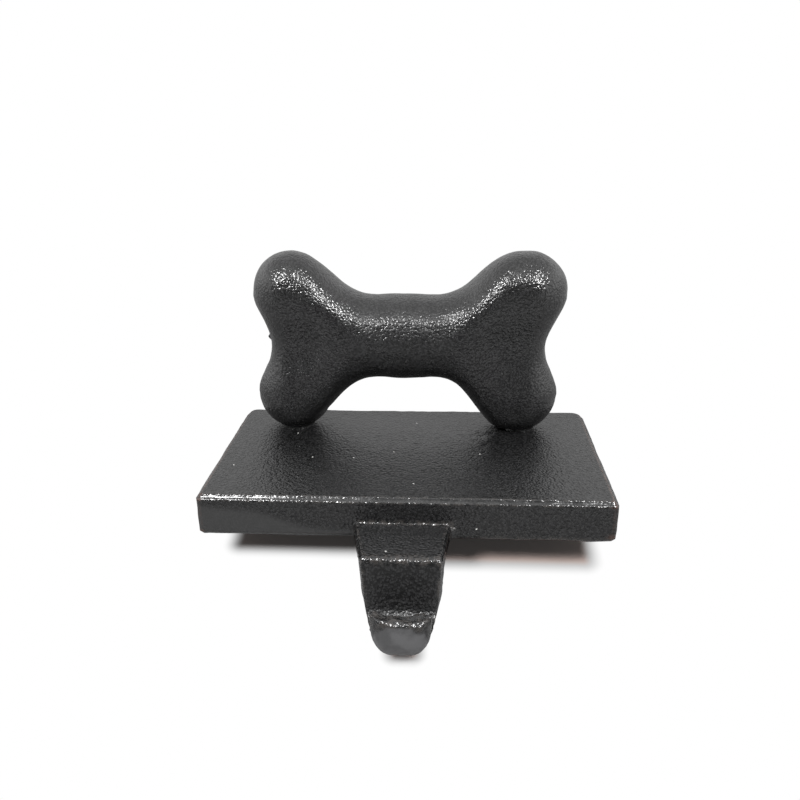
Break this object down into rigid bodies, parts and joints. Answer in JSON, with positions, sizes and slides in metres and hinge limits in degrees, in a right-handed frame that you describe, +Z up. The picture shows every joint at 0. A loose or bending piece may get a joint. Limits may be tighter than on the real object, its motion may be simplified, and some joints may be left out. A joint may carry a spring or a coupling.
{
  "type": "mantel stocking holder",
  "caption": "Weighted mantel stocking holder: a dog bone standing on a flat cast plate, with a tapered hook at the plate's front that hangs over the shelf's edge and holds a stocking's loop.",
  "frame": {"origin": "middle of the plate's underside, where it rests on the mantel", "axes": "+Z up, +X along the plate's long side to the right, -Y towards the hook and the room"},
  "size_m": [0.114, 0.0976, 0.084],
  "materials": {
    "black_cast_iron": "near-black semi-gloss paint over a fine sand-cast skin"
  },
  "bodies": {
    "root": {"stocking_holder": "black_cast_iron"}
  },
  "joints": []
}
